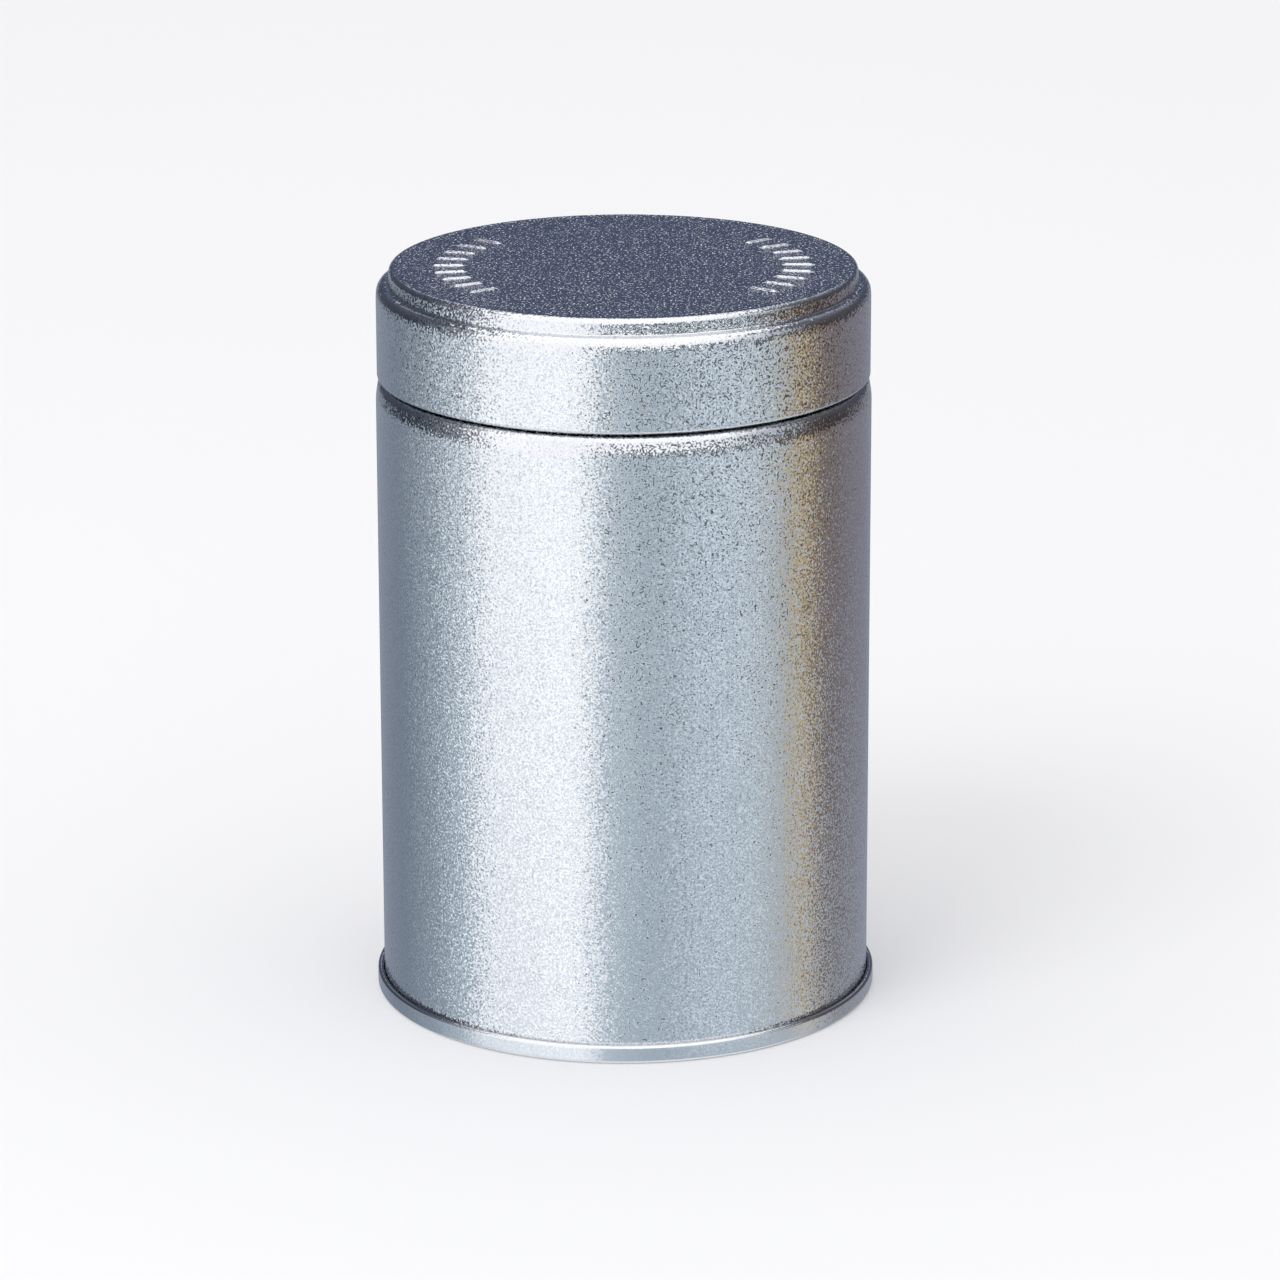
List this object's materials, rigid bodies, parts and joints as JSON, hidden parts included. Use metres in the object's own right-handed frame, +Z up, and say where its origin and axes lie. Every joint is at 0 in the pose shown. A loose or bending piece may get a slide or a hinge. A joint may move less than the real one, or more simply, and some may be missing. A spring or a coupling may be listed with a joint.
{
  "type": "candle tin",
  "caption": "Tall round slip-lid tinplate can with a necked body, a double-seamed base and a poured wax candle with a cored wick inside.",
  "frame": {"origin": "centre of the ring that the base stands on", "axes": "+Z up along the tin's own axis and the way the lid lifts; the front view looks along +Y; the body's side seam is at +Y"},
  "size_m": [0.077, 0.077, 0.1139],
  "materials": {
    "tinplate_body": "satin, fine grained tinplate",
    "tinplate_end": "satin tinplate, smoother where it is seamed",
    "tinplate_lid": "satin, fine grained tinplate",
    "sealing_compound": "matt",
    "candle_wax": "soft ivory, slightly frosted",
    "wick_cotton": "waxed braid",
    "wick_core_thread": "twisted thread",
    "sustainer_steel": "plain stamped steel",
    "sticker_foam": "matt foam"
  },
  "bodies": {
    "tin": {"body_shell": "tinplate_body", "bottom_end": "tinplate_end", "seam_compound": "sealing_compound", "wax_fill": "candle_wax", "wick_braid": "wick_cotton", "wick_core": "wick_core_thread", "wick_sustainer": "sustainer_steel", "wick_sticker": "sticker_foam"},
    "lid": {"lid_shell": "tinplate_lid"}
  },
  "joints": [
    {"name": "lid_lift", "type": "slide", "parent": "tin", "child": "lid", "axis": [0, 0, 1], "range_m": [0, 0.06]}
  ]
}
